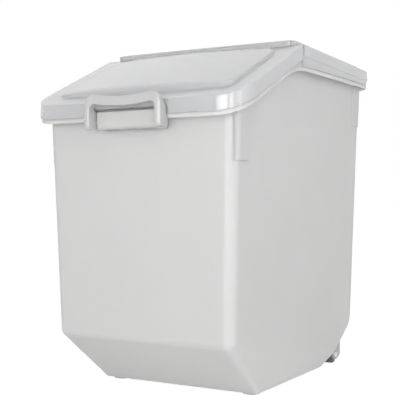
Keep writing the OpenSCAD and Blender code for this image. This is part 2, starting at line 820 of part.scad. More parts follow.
module wheel_housing() {
    difference() {
        translate([wheel_x, 0, 0]) across(housing_w)
            polygon([
                [axle_y - 2 * cheek_r, bevel_z(axle_y - 2 * cheek_r) - stud_seat],
                [axle_y - cheek_r, axle_z - cheek_r / 2], [axle_y - cheek_r / 2, axle_z - cheek_r],
                [axle_y + cheek_r / 2, axle_z - cheek_r], [housing_back_y - 3, axle_z - 3.5],
                [housing_back_y, axle_z], [housing_back_y, bevel_z(housing_back_y) - stud_seat]
            ]);
        // wheel pocket, open below and in front
        at_axle() cylinder(r = pocket_r, h = pocket_w, center = true);
        translate([wheel_x, 0, 0]) {
            block([-pocket_w / 2, axle_y - pocket_r, -past],
                  [pocket_w / 2, axle_y + pocket_r, axle_z]);
            block([-pocket_w / 2, axle_y - 2 * pocket_r, -past],
                  [pocket_w / 2, axle_y - cheek_r, axle_z + 1]);
        }
        at_axle() cylinder(r = axle_r + press_fit, h = housing_w + 2 * past, center = true);
    }
    // snap studs through the tub's rear bevel
    at_studs() {
        translate([0, 0, -past]) cylinder(r = stud_r, h = past + tub_wall + 2 * push_gap);
        translate([0, 0, tub_wall + push_gap])
            cylinder(r1 = stud_r + stud_lip, r2 = stud_r - stud_lip, h = 2.4);
    }
}

module wheel() difference() {
    at_axle() cylinder(r = wheel_r - tyre_t, h = wheel_w - 2 * tyre_edge / 3, center = true);
    // dished faces round the hub
    at_axle() for (m = [0, 1]) mirror([0, 0, m])
        translate([0, 0, wheel_w / 2 - wheel_dish]) difference() {
            cylinder(r = wheel_r - tyre_t - 1.6, h = wheel_dish + past);
            translate([0, 0, -past]) cylinder(r = wheel_hub_r, h = wheel_dish + 3 * past);
        }
    at_axle() cylinder(r = axle_r + axle_fit, h = wheel_w + 2 * past, center = true);
}

module tyre() {
    edge_x = wheel_w / 2;
    at_axle() rotate_extrude()
        polygon([
            [wheel_r - tyre_t, -edge_x], [wheel_r - tyre_edge / 2, -edge_x],
            [wheel_r, tyre_edge - edge_x], [wheel_r, edge_x - tyre_edge],
            [wheel_r - tyre_edge / 2, edge_x], [wheel_r - tyre_t, edge_x]
        ]);
}

// An axle with its head at the inner cheek
module axle() at_axle() {
    translate([0, 0, -housing_w / 2 - axle_cap_t]) cylinder(r = axle_cap_r, h = axle_cap_t);
    translate([0, 0, -housing_w / 2 - skin])
        cylinder(r = axle_r, h = housing_w + axle_cap_t / 2);
}

module axle_cap() at_axle() translate([0, 0, housing_w / 2]) difference() {
    cylinder(r1 = axle_cap_r, r2 = axle_cap_r - 0.5, h = axle_cap_t);
    translate([0, 0, -past])
        cylinder(r = axle_r + press_fit, h = past + axle_cap_t / 2);
}

module wheel_housing_right() color([0.72, 0.73, 0.74]) placed() wheel_housing();
module wheel_housing_left() color([0.72, 0.73, 0.74]) placed()
    mirror([1, 0, 0]) wheel_housing();
module wheel_right() color([0.35, 0.36, 0.37]) placed() wheel();
module wheel_left() color([0.35, 0.36, 0.37]) placed() mirror([1, 0, 0]) wheel();
module tyre_right() color([0.12, 0.12, 0.13]) placed() tyre();
module tyre_left() color([0.12, 0.12, 0.13]) placed() mirror([1, 0, 0]) tyre();
module axle_right() color([0.75, 0.76, 0.78]) placed() axle();
module axle_left() color([0.75, 0.76, 0.78]) placed() mirror([1, 0, 0]) axle();
module axle_cap_right() color("white") placed() axle_cap();
module axle_cap_left() color("white") placed() mirror([1, 0, 0]) axle_cap();

// ---- feet ----

module front_foot() translate([foot_x, base_front_y + foot_run, 0]) rotate_extrude()
    polygon([[0, 0], [foot_r - 1, 0], [foot_r, 1], [foot_r, base_lift], [0, base_lift]]);

module front_foot_right() color([0.8, 0.81, 0.82]) placed() front_foot();
module front_foot_left() color([0.8, 0.81, 0.82]) placed() mirror([1, 0, 0]) front_foot();

tub();
rear_cover();
flip_lid();
lid_seal();
hinge_pin_left();
hinge_pin_right();
latch_handle();
wheel_housing_left();
wheel_housing_right();
wheel_left();
wheel_right();
tyre_left();
tyre_right();
axle_left();
axle_right();
axle_cap_left();
axle_cap_right();
front_foot_left();
front_foot_right();
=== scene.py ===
import math

import bmesh
import bpy
from bpy.props import FloatProperty, FloatVectorProperty, IntProperty, PointerProperty
from mathutils import Matrix, Vector


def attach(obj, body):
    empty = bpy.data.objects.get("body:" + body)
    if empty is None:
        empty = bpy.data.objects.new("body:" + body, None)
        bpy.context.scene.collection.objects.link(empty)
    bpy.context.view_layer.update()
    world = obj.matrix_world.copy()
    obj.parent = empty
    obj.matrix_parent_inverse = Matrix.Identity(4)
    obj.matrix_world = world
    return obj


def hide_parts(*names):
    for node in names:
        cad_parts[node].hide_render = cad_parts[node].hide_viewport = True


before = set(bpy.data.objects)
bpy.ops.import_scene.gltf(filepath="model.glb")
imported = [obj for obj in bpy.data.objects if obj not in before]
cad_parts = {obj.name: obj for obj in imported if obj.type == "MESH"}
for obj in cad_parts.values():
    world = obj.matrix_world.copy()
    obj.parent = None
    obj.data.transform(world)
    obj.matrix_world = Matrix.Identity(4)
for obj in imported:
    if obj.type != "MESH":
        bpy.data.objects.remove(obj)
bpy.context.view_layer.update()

bl_info = {
    "name": "Rice Bin",
    "version": (1, 0, 0),
    "blender": (4, 5, 0),
    "location": "View3D > Sidebar > Rice Bin",
    "description": "Dresses a wheeled rice bin with a flip lid in moulded plastic",
    "category": "Object",
}

MM = 0.001
SIDES = ((-1, "left"), (1, "right"))

# Every size below is in millimetres. Places are measured from the tub's own middle, as
# in the construction, and BIN_Y moves them into the frame.
TUB_W, TUB_D, TUB_WALL, DRAFT, TUB_R = 240.0, 356.0, 2.4, 1.66, 12.0
LID_REACH, LID_R, LID_T, SKIRT = 15.5, 32.0, 2.2, 16.5
LID_FRONT_Z, RIDGE_Z, LID_REAR_Z = 322.0, 391.0, 384.0
HALF_W, HALF_D = TUB_W / 2, TUB_D / 2
LID_HW, LID_HD = HALF_W + LID_REACH, HALF_D + LID_REACH
FRONT_RUN = 152.5
RIDGE_Y = -LID_HD + FRONT_RUN
FRONT_SLOPE = (RIDGE_Z - LID_FRONT_Z) / FRONT_RUN
REAR_SLOPE = (RIDGE_Z - LID_REAR_Z) / (LID_HD - RIDGE_Y)
RIM_Z = LID_FRONT_Z - SKIRT
FLANGE_GAP, FLANGE_REACH, RIM_BEND_R, COVER_BAND = 0.6, 13.7, 130.0, 12.5
LATCH_FRONT = -205.54
BIN_Y = (-LATCH_FRONT - LID_HD) / 2
PART_GAP = 0.7
FLIP_H, REAR_H, PANEL_R = 7.3, 7.3, 9.0
FLIP_HW, REAR_HW = LID_HW - 24.5, LID_HW - 12.5
FLIP_PANEL = (-LID_HD + 21.5, RIDGE_Y - 20.0)
REAR_PANEL = (RIDGE_Y + 1.6, LID_HD - 22.0)
HINGE_Y, HINGE_Z, HINGE_X = RIDGE_Y - 3.6, RIDGE_Z - 3.5, 72.0
KNUCKLE_HALF, EAR_OUT, EAR_HALF, HINGE_R, HINGE_BORE = 13.5, 17.9, 4.0, 4.0, 2.06
FLIP_CROWN, REAR_CROWN, LIP_DEPTH, PAD_DEPTH = 3.4, 0.3, 5.0, 50.0
FRONT_DROP, REAR_DROP, LEVEL_DROP = 4.7, 2.5, 5.4
SEAL_R, SEAL_DROP = 10.8, 3.2
PIVOT_Y, PIVOT_Z = -191.0, 299.5
LEG_END = 7.3
NOTCH_HW, NOTCH_Z = 49.3, RIM_Z + 8.0
NOTCH_MARKS = (-NOTCH_HW - 0.3, -NOTCH_HW + 0.3, 0, NOTCH_HW - 0.3, NOTCH_HW + 0.3)
WHEEL_X, AXLE_Y, WHEEL_R, WHEEL_W = 92.5, 134.0, 11.5, 15.0


def lid_z(y):
    """Height of the lids' top edge: up the front slope to the ridge, then gently down."""
    return RIDGE_Z + (y - RIDGE_Y) * (FRONT_SLOPE if y < RIDGE_Y else -REAR_SLOPE)


def rim_z(y):
    """Height of the flange's top: up the front slope, round a bend and level behind."""
    level, rise = LID_REAR_Z - SKIRT - FLANGE_GAP, math.atan(FRONT_SLOPE)
    bend_y = (RIDGE_Y - (RIDGE_Z - LID_REAR_Z) / FRONT_SLOPE
              + RIM_BEND_R * math.tan(rise / 2))
    if y > bend_y:
        return level
    if y < bend_y - RIM_BEND_R * math.sin(rise):
        return lid_z(y) - SKIRT - FLANGE_GAP
    return level - RIM_BEND_R + math.sqrt(RIM_BEND_R ** 2 - (bend_y - y) ** 2)


def wall_lean(z):
    """How far the tub's walls have leaned in at a height."""
    return (RIM_Z - z) * math.tan(math.radians(DRAFT))


# ---- mesh tools ----

def piece(name, bm, body, finish, replaces=(), smooth=32.0):
    """Turns a bmesh in millimetres into a finished piece that rides on a body."""
    bmesh.ops.recalc_face_normals(bm, faces=bm.faces)
    place = Matrix.Translation((0, BIN_Y * MM, 0))
    bmesh.ops.transform(bm, matrix=place @ Matrix.Scale(MM, 4), verts=bm.verts)
    mesh = bpy.data.meshes.new(name)
    bm.to_mesh(mesh)
    bm.free()
    mesh.shade_smooth()
    mesh.set_sharp_from_angle(angle=math.radians(smooth))
    return dress(link(name, mesh), body, finish, replaces)


def link(name, data):
    """Puts data into the scene as an object."""
    obj = bpy.data.objects.new(name, data)
    bpy.context.scene.collection.objects.link(obj)
    return obj


def paint(obj, finish):
    """Gives an object its only material."""
    obj.data.materials.clear()
    obj.data.materials.append(material(finish))


def dress(obj, body, finish, replaces=()):
    """Gives a finished object its material, its body and the nodes it stands for."""
    paint(obj, finish)
    if replaces:
        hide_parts(*replaces)
    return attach(obj, body)


def modify(obj, kind, **settings):
    """Adds a modifier and sets it up."""
    modifier = obj.modifiers.new(kind.title(), kind)
    for key, value in settings.items():
        setattr(modifier, key, value)
    return modifier


def bevel(obj, width, segments, angle=30):
    """Rounds the edges sharper than an angle, in degrees; width is in millimetres."""
    modify(obj, "BEVEL", width=width * MM, segments=segments, limit_method="ANGLE",
           angle_limit=math.radians(angle))


def weighted(obj):
    """Keeps broad flats flat while the rounded edges stay smooth."""
    modify(obj, "WEIGHTED_NORMAL", keep_sharp=True, weight=60)


def merge(bm):
    """Welds the points that meet."""
    bmesh.ops.remove_doubles(bm, verts=bm.verts, dist=1e-4)


def both_sides(points):
    """Points followed by their mirror image in x, back to the first one's side."""
    return points + [(-x, *rest) for x, *rest in points[::-1]]


def arc(cx, cy, r, start, turn, steps):
    """Points along an arc, from start through turn, both in degrees."""
    angles = [math.radians(start + turn * k / steps) for k in range(steps + 1)]
    return [(cx + r * math.cos(a), cy + r * math.sin(a)) for a in angles]


def add_loops(bm, rows, skip=None, close=True, caps=False):
    """Joins rows of points, each a closed loop of equal length, with quads."""
    made = [[bm.verts.new(p) for p in row] for row in rows]
    count = len(rows[0])
    for i in range(len(rows) - 1):
        for j in range(count if close else count - 1):
            if skip and skip(i, j):
                continue
            k = (j + 1) % count
            bm.faces.new((made[i][j], made[i][k], made[i + 1][k], made[i + 1][j]))
    if caps:
        bm.faces.new(made[0])
        bm.faces.new(made[-1])
    return made


def plan_loop(hw, y0, y1, r_front, r_back):
    """A rounded rectangle seen from above, from the back left round the front."""
    side = [y1 - r_back + (y0 + r_front - y1 + r_back) * t for t in (0.25, 0.5, 0.75)]
    return [*arc(r_back - hw, y1 - r_back, r_back, 90, 90, 10),
            *((-hw, y) for y in side),
            *arc(r_front - hw, y0 + r_front, r_front, 180, 90, 10),
            *((x, y0) for x in NOTCH_MARKS),
            *arc(hw - r_front, y0 + r_front, r_front, 270, 90, 10),
            *((hw, y) for y in side[::-1]),
            *arc(hw - r_back, y1 - r_back, r_back, 0, 90, 10),
            *((x, y1) for x in (60, 0, -60))]


def on_roof(loop, rise, crown=0.0, hw=1.0):
    """Lifts a plan loop to the lids' slopes; crown lowers it towards the sides."""
    return [(x, y, lid_z(y) + rise - crown * min(1, abs(x) / hw) ** 2) for x, y in loop]


def band(bm, outer, inner, close=True):
    """A band of rectangular section; outer and inner give (x, y, low, high)."""
    rows = [[(x, y, low) for x, y, low, high in outer],
            [(x, y, high) for x, y, low, high in outer],
            [(x, y, high) for x, y, low, high in inner],
            [(x, y, low) for x, y, low, high in inner]]
    close_round(bm, rows, close)


def close_round(bm, rows, close=True):
    """Joins the last row to the first; where the rows are open, both ends get a face."""
    made = add_loops(bm, rows + rows[:1], close=close)
    for end in () if close else (0, -1):
        bm.faces.new([row[end] for row in made[:-1]])
    merge(bm)


def prism(bm, outline, x0, x1):
    """Extrudes a side view, drawn as (y, z), from x0 to x1."""
    add_loops(bm, [[(x, y, z) for y, z in outline] for x in (x0, x1)], caps=True)


def lathe(bm, profile, centre, steps):
    """Turns a closed profile, drawn as (along x, radius), about an axis along X."""
    cx, cy, cz = centre
    rows = []
    for k in range(steps + 1):
        a = 2 * math.pi * k / steps
        rows.append([(cx + x, cy + r * math.cos(a), cz + r * math.sin(a))
                     for x, r in profile])
    on_axis = [r == 0 for x, r in profile]
    add_loops(bm, rows, skip=lambda i, j: on_axis[j] and on_axis[j + 1 - len(profile)])
    merge(bm)


def turned(name, profile, centre, steps, body, finish, node, side=1):
    """A turned piece on its own; side -1 mirrors its profile."""
    bm = bmesh.new()
    lathe(bm, [(side * x, r) for x, r in profile], centre, steps)
    return piece(name, bm, body, finish, (node,))


# ---- materials ----

def add_node(tree, kind, inputs=None, **settings):
    """Adds a node with its settings and inputs."""
    node = tree.nodes.new(kind)
    for key, value in settings.items():
        setattr(node, key, value)
    return feed(tree, node, inputs or {})


def feed(tree, node, inputs):
    """Sets a node's inputs, each from a plain value or the socket that feeds it."""
    for key, value in inputs.items():
        if isinstance(value, bpy.types.NodeSocket):
            tree.links.new(value, node.inputs[key])
        else:
            node.inputs[key].default_value = value
    return node


def new_material(name):
    """A material, its tree and the coordinates that stay with the piece."""
    material = bpy.data.materials.new(name)
    material.use_nodes = True
    tree = material.node_tree
    return material, tree, add_node(tree, "ShaderNodeTexCoord").outputs["Object"]


def grain(tree, place, scale, detail=2.0):
    """Noise that is fixed to the piece; scale is in features per metre."""
    return add_node(tree, "ShaderNodeTexNoise",
                    {"Vector": place, "Scale": scale, "Detail": detail}).outputs["Fac"]


def ramp(tree, fac, low, high):
    """Spreads a value between two colours."""
    node = add_node(tree, "ShaderNodeValToRGB", {"Fac": fac})
    for element, position, colour in zip(node.color_ramp.elements, (0.3, 0.7), (low, high)):
        element.position, element.color = position, (*colour, 1)
    return node.outputs["Color"]


def spread(tree, fac, low, high):
    """Maps 0 to 1 onto low to high."""
    return add_node(tree, "ShaderNodeMapRange",
                    {"Value": fac, "To Min": low, "To Max": high}).outputs["Result"]


def surface(tree, colour, rough, relief, inputs):
    """Sets the shader. Colour and roughness are each (noise, low, high), and relief is
    (noise, strength, distance in metres)."""
    height, strength, distance = relief
    bump = add_node(tree, "ShaderNodeBump", {"Height": height, "Strength": strength,
                                             "Distance": distance})
    feed(tree, tree.nodes["Principled BSDF"], {
        "Base Color": ramp(tree, *colour), "Roughness": spread(tree, *rough),
        "Normal": bump.outputs["Normal"], **inputs})


def shade(colour, share):
    """A darker or lighter colour, kept within white."""
    return tuple(min(1.0, c * share) for c in colour)


def polypropylene(name, tint, clear, rough, coat, coat_rough):
    """Natural translucent plastic: milky inside, satin outside, faintly wavy."""
    material, tree, place = new_material(name)
    surface(tree, (grain(tree, place, 9.0), shade(tint, 0.97), tint),
            (grain(tree, place, 900.0), rough - 0.04, rough + 0.04),
            (grain(tree, place, 14.0, 1.0), 0.2, 0.002),
            {"IOR": 1.49, "Transmission Weight": clear, "Subsurface Weight": 1.0,
             "Subsurface Radius": (1.0, 1.0, 1.0), "Subsurface Scale": 0.008,
             "Coat Weight": coat, "Coat Roughness": coat_rough})
    return material


def moulded(name, colour, rough, coat=0.0):
    """Opaque moulded plastic with a fine spark-eroded grain."""
    material, tree, place = new_material(name)
    fine = grain(tree, place, 1600.0)
    surface(tree, (grain(tree, place, 60.0, 3.0), shade(colour, 0.94), colour),
            (fine, rough - 0.06, rough + 0.06), (fine, 0.15, 0.0002),
            {"Coat Weight": coat, "Coat Roughness": 0.12})
    return material


def steel(name):
    """Drawn wire with fine lines along X."""
    material, tree, place = new_material(name)
    drawn = add_node(tree, "ShaderNodeMapping", {"Vector": place, "Scale": (0.03, 1, 1)})
    lines = grain(tree, drawn.outputs["Vector"], 2500.0)
    surface(tree, (lines, (0.50, 0.51, 0.52), (0.72, 0.73, 0.74)), (lines, 0.22, 0.38),
            (lines, 0.2, 0.0001), {"Metallic": 1.0})
    return material


def soft_rubber(name, colour, rough):
    """Matt rubber or silicone, dusty in random patches."""
    material, tree, place = new_material(name)
    dust = grain(tree, place, 120.0, 4.0)
    dusty = shade([c + 0.008 for c in colour], 1.25)
    surface(tree, (dust, colour, dusty), (dust, rough, min(1.0, rough + 0.15)),
            (grain(tree, place, 1500.0), 0.25, 0.0002), {})
    return material


# ---- settings ----

class TubSettings(bpy.types.PropertyGroup):
    tint: FloatVectorProperty(name="Plastic", description="Colour of the tub's plastic",
                              subtype="COLOR", size=3, default=(0.91, 0.91, 0.90))
    clearness: FloatProperty(name="Clearness", description="Share of light let through",
                             subtype="FACTOR", min=0, max=1, default=0.3)
    edge_steps: IntProperty(name="Edge steps", description="Segments round each ball",
                            default=64, min=16, max=128)


class LidSettings(bpy.types.PropertyGroup):
    tint: FloatVectorProperty(name="Plastic", description="Colour of the lids' plastic",
                              subtype="COLOR", size=3, default=(0.85, 0.86, 0.89))
    clearness: FloatProperty(name="Clearness", description="Share of light let through",
                             subtype="FACTOR", min=0, max=1, default=0.45)
    edge_round: FloatProperty(name="Edge rounding", description="Radius of the top edges",
                              unit="LENGTH", default=1.2 * MM, min=0.001, max=0.005)
    panel_round: FloatProperty(name="Panel rounding",
                               description="Radius of the raised panels' top edges",
                               unit="LENGTH", default=2.6 * MM, min=0.001, max=0.005)


class LatchSettings(bpy.types.PropertyGroup):
    colour: FloatVectorProperty(name="Plastic", description="Colour of the handle",
                                subtype="COLOR", size=3, default=(0.49, 0.495, 0.49))
    edge_round: FloatProperty(name="Edge rounding", description="Radius of its edges",
                              unit="LENGTH", default=1.5 * MM, min=0.0005, max=0.003)


class WheelSettings(bpy.types.PropertyGroup):
    rib_count: IntProperty(name="Ribs", description="Ribs in each face of a wheel",
                           default=6, min=3, max=12)


class StageSettings(bpy.types.PropertyGroup):
    lens: FloatProperty(name="Lens", description="Focal length of the camera",
                        default=80.0, min=20, max=200)
    world: FloatProperty(name="Ambient", description="Strength of the light all round",
                         default=0.55, min=0, max=2)
    key: FloatProperty(name="Key light", description="Power of the main lamp",
                       unit="POWER", default=20.0, min=0, max=200)


def settings():
    """The scene's settings for the bin."""
    return bpy.context.scene.rice_bin


class BinSettings(bpy.types.PropertyGroup):
    tub: PointerProperty(type=TubSettings)
    lids: PointerProperty(type=LidSettings)
    latch: PointerProperty(type=LatchSettings)
    wheels: PointerProperty(type=WheelSettings)
    stage: PointerProperty(type=StageSettings)


MATERIALS = {}


def material(key):
    """Makes each material once."""
    s = settings()
    milky = (s.tub.clearness, 0.48, 0.05, 0.25)
    makers = {
        "tub": (polypropylene, "Milky Polypropylene", s.tub.tint, *milky),
        # the latch block is the tub's own plastic; its tint is darkened to 0.84 as painted
        # shade for the shadow under the handle's bar
        "block": (polypropylene, "Thick Milky Polypropylene", shade(s.tub.tint, 0.84),
                  *milky),
        "lid": (polypropylene, "Clear Polypropylene", s.lids.tint, s.lids.clearness,
                0.24, 0.9, 0.08),
        "handle": (moulded, "White Handle Plastic", s.latch.colour, 0.32, 1.0),
        "seal": (soft_rubber, "Silicone", (0.62, 0.63, 0.63), 0.6),
        "housing": (moulded, "Housing Plastic", (0.45, 0.46, 0.47), 0.42),
        "wheel": (moulded, "Wheel Plastic", (0.22, 0.22, 0.23), 0.5),
        "tyre": (soft_rubber, "Tyre Rubber", (0.11, 0.11, 0.115), 0.72),
        "cap": (moulded, "Axle Cap Plastic", (0.90, 0.90, 0.90), 0.4),
        "foot": (moulded, "Foot Plastic", (0.55, 0.56, 0.56), 0.55),
        "steel": (steel, "Drawn Steel"),
    }
    if key not in MATERIALS:
        make, *given = makers[key]
        MATERIALS[key] = make(*given)
    return MATERIALS[key]


# ---- tub ----

BASE_BALL = (99.5, 7.4, 5.0)
BASE_FRONT_Y, BASE_REAR_Y = -92.0, 84.0
ROLL_Z, ROLL_R = 66.0, 30.0
ROLL_Y = HALF_D - wall_lean(ROLL_Z) - ROLL_R


def bevel_line():
    """Angle of the rear bevel and a point on it, tangent to its two rounded edges."""
    run, rise = ROLL_Y - BASE_REAR_Y, ROLL_Z - BASE_BALL[1]
    angle = math.atan2(rise, run) - math.asin((ROLL_R - BASE_BALL[2]) / math.hypot(run, rise))
    return (angle, BASE_REAR_Y + BASE_BALL[2] * math.sin(angle),
            BASE_BALL[1] - BASE_BALL[2] * math.cos(angle))


def tub_balls():
    """Centres and radii of the balls that round the tub's lower edges."""
    angle, y0, z0 = bevel_line()
    front_z, (x, z, r) = 70.5, BASE_BALL
    balls = [(HALF_W - wall_lean(front_z) - TUB_R, -HALF_D + wall_lean(front_z) + TUB_R,
              front_z, TUB_R), (x, BASE_FRONT_Y + 2, z, r), (x, BASE_REAR_Y, z, r)]
    side_z = 22.0
    side_y = y0 + (side_z - 6 / math.cos(angle) - z0) / math.tan(angle)
    for y, z in ((-HALF_D + 118, 36.0), (side_y, side_z)):
        balls.append((HALF_W - wall_lean(z) - 6, y, z, 6.0))
    balls += [(HALF_W - wall_lean(ROLL_Z) - TUB_R, y, z, TUB_R) for y, z in
              arc(ROLL_Y, ROLL_Z, ROLL_R - TUB_R, 0, math.degrees(angle) - 90, 8)]
    return balls


def tub_walls(steps):
    """The tub's closed hull, cut open along both slopes."""
    top_z = RIDGE_Z + 9
    balls = tub_balls()
    inset = wall_lean(top_z) + TUB_R
    balls += [(HALF_W - inset, y * (HALF_D - inset), top_z, TUB_R) for y in (-1, 1)]
    lean, angle = math.radians(DRAFT), bevel_line()[0]
    ways = [(0, -math.cos(lean), -math.sin(lean)), (0, math.cos(lean), -math.sin(lean)),
            (math.cos(lean), 0, -math.sin(lean)), (0, 0, -1),
            (0, math.sin(angle), -math.cos(angle))]
    for j in range(1, steps):
        tilt = math.pi * j / steps
        for i in range(-steps // 2, steps // 2 + 1):
            turn = math.pi * i / steps
            ways.append((math.sin(tilt) * math.cos(turn), math.sin(tilt) * math.sin(turn),
                         -math.cos(tilt)))
    bm = bmesh.new()
    for nx, ny, nz in ways:
        reach = [x * nx + y * ny + z * nz + r for x, y, z, r in balls]
        furthest = max(reach)
        for far, (x, y, z, r) in zip(reach, balls):
            if far > furthest - 1e-5:
                for side in (-1, 1):
                    bm.verts.new((side * (x + r * nx), y + r * ny, z + r * nz))
    bmesh.ops.remove_doubles(bm, verts=bm.verts, dist=1e-3)
    bmesh.ops.convex_hull(bm, input=bm.verts)
    loose = [v for v in bm.verts if not v.link_faces]
    bmesh.ops.delete(bm, geom=loose, context="VERTS")
    # along both slopes, and level just under the swing of the flip lid's hinged edge
    for slope, top in ((FRONT_SLOPE, RIDGE_Z - FRONT_DROP),
                       (-REAR_SLOPE, RIDGE_Z - REAR_DROP), (0, HINGE_Z - LEVEL_DROP)):
        bmesh.ops.bisect_plane(bm, geom=bm.verts[:] + bm.edges[:] + bm.faces[:],
                               plane_co=(0, RIDGE_Y, top), plane_no=(0, -slope, 1),
                               clear_outer=True)
    bmesh.ops.dissolve_limit(bm, angle_limit=math.radians(0.05), verts=bm.verts,
                             edges=bm.edges)
    return bm


def rim_flange():
    """The flange under the lids: a plate with a turned-down edge, all round."""
    bm = bmesh.new()
    hw, hd, r = HALF_W + FLANGE_REACH, HALF_D + FLANGE_REACH, 30.0
    profile = [(-14.3, 0), (-0.9, 0), (-0.3, -0.25), (0, -0.9), (0, -4.5), (-0.3, -4.9),
               (-0.7, -5), (-1.6, -5), (-2.0, -4.8), (-2.2, -4.4), (-2.2, -2.8),
               (-2.8, -2.2), (-14.3, -2.2)]
    rows = []
    for o, dz in profile:
        loop = plan_loop(hw + o, -hd - o, hd + o, r + o, r + o)
        rows.append([(x, y, rim_z(y) + dz) for x, y in bend_points(loop)])
    front = [j for j, (x, y, _) in enumerate(rows[0])
             if abs(x) < NOTCH_HW and y < -HALF_D + 5]
    add_loops(bm, rows + rows[:1], skip=lambda i, j: j in front[:-1])
    merge(bm)
    edge = [e for e in bm.edges if e.is_boundary]
    bmesh.ops.holes_fill(bm, edges=edge, sides=0)
    return bm


def bend_points(loop, steps=14):
    """Adds points along a loop's sides where the flange bends under the ridge."""
    out = []
    start, run = RIDGE_Y - 42, 58
    stops = [start + run * k / steps for k in range(steps + 1)]
    for i, (x, y) in enumerate(loop):
        out.append((x, y))
        x2, y2 = loop[(i + 1) % len(loop)]
        between = [stop for stop in stops if (y - stop) * (y2 - stop) < 0]
        for stop in between if y2 > y else between[::-1]:
            out.append((x + (x2 - x) * (stop - y) / (y2 - y), stop))
    return out


def risen_edge():
    """Under the ridge the flange's edge rises to the flip lid's skirt."""
    bm = bmesh.new()
    out, run = HALF_W + FLANGE_REACH, 40.0
    for side in (-1, 1):
        rows = []
        for k in range(17):
            y = RIDGE_Y - run + run * k / 16
            low, high = rim_z(y) - 1.5, max(lid_z(y) - SKIRT - FLANGE_GAP, rim_z(y) - 0.2)
            round_r = min(0.5, (high - low) * 0.3)
            rows.append([(side * x, y, z) for x, z in
                         ((out - 0.02, low), (out - 0.02, high - round_r), (out - 0.15, high),
                          (out - 2.1, high), (out - 2.2, high - 0.1), (out - 2.2, low))])
        add_loops(bm, rows, caps=True)
    return bm


def corner_pads():
    """Thick corners below the flange, on the sides in front and right round behind."""
    bm = bmesh.new()
    for side in (-1, 1):
        for corner, turn in ((-1, 42), (1, 90)):
            low = rim_z(corner * HALF_D) - LIP_DEPTH - PAD_DEPTH
            start, stop = HALF_D - 32, HALF_D - TUB_R
            path = [(HALF_W, corner * (start + (stop - start) * t / 10), 1, 0, 20 * t / 10)
                    for t in range(10)]
            for k in range(turn // 3 + 1):
                a = math.radians(3 * k)
                c, s = math.cos(a), math.sin(a)
                path.append((HALF_W - TUB_R + TUB_R * c, corner * (stop + TUB_R * s),
                             c, corner * s, 20 + TUB_R * a))
            whole = path[-1][4]
            rows = []
            for depth, lift in ((-1, 0), (0.2, 0), (1.1, 0.2), (1.5, 0.8), (1.5, None),
                                (-1, None)):
                row = []
                for x, y, nx, ny, run in path:
                    fade = min(1, run / 1.5, (whole - run) / (7 if corner < 0 else 1.5))
                    out = depth * fade * fade * (3 - 2 * fade) if depth > 0 else depth
                    z = rim_z(y) - 1.4 if lift is None else low + lift
                    lean = wall_lean(z)
                    row.append((side * (x - lean + nx * out), y - corner * lean + ny * out, z))
                rows.append(row)
            close_round(bm, rows, close=False)
    return bm


def latch_block():
    """The block on the front that the handle turns on, with rounded front corners."""
    bm = bmesh.new()
    front, low, top, half, r = -HALF_D - 16.5, 291.5, 311.0, 41.0, 4.0
    profile = [(8.0, low), (4.0, low + 0.4), (1.8, low + 1.8), (0.5, low + 3.8),
               (0, low + 6), (0, top - 1.5), (0.45, top - 0.45), (1.5, top), (8.0, top)]
    rows = []
    for inset, z in profile:
        row = [(half - inset * 0.25, -HALF_D + 1.2, z)]
        for k in range(9):
            a = math.radians(90 * k / 8)
            side = half - r + (r - min(inset, r - 0.5) * 0.6) * math.cos(a)
            row.append((side, front + r - (r - inset) * math.sin(a), z))
        rows.append(both_sides(row))
    add_loops(bm, rows, caps=True)
    bmesh.ops.recalc_face_normals(bm, faces=bm.faces)
    # three pockets, open below
    pocket, pitch = 21.33, 23.33
    y0, y1 = front + 2.4, -HALF_D - 0.6
    cuts = [((i * pitch + end * pocket / 2, 0, 0), (1, 0, 0)) for i in (-1, 0, 1)
            for end in (-1, 1)]
    for at, way in cuts + [((0, y0 + 8, 0), (0, 1, 0)), ((0, y1, 0), (0, 1, 0))]:
        under = [f for f in bm.faces if f.normal.z < -0.99]
        parts = {e for f in under for e in f.edges} | {v for f in under for v in f.verts}
        bmesh.ops.bisect_plane(bm, geom=list(parts) + under, plane_co=at, plane_no=way)
    holes = [f for f in bm.faces if f.normal.z < -0.99
             and y0 < f.calc_center_median().y < y1
             and any(abs(f.calc_center_median().x - i * pitch) < 2 for i in (-1, 0, 1))]
    grown = bmesh.ops.extrude_face_region(bm, geom=holes)["geom"]
    bmesh.ops.translate(bm, vec=(0, 0, top - low - 2.4),
                        verts=[v for v in grown if isinstance(v, bmesh.types.BMVert)])
    bmesh.ops.delete(bm, geom=holes, context="FACES")
    merge(bm)
    return bm


class RICEBIN_OT_tub(bpy.types.Operator):
    """Make the tub: walls, rim flange, corner pads and latch block"""
    bl_idname = "rice_bin.tub"
    bl_label = "Tub"

    def execute(self, context):
        s = settings().tub
        walls = piece("tub_walls", tub_walls(s.edge_steps), "bin", "tub", ("tub",), 40)
        modify(walls, "SOLIDIFY", thickness=TUB_WALL * MM, offset=-1, use_even_offset=True)
        weighted(walls)
        weighted(piece("rim_flange", rim_flange(), "bin", "tub"))
        piece("risen_edge", risen_edge(), "bin", "tub")
        weighted(piece("corner_pads", corner_pads(), "bin", "tub"))
        # the latch block wears the tub plastic with a darkened tint, painted shade under the
        # handle's bar
        block = piece("latch_block", latch_block(), "bin", "block")
        bevel(block, 0.8, 3, 50)
        weighted(block)
        return {"FINISHED"}


# ---- lids ----

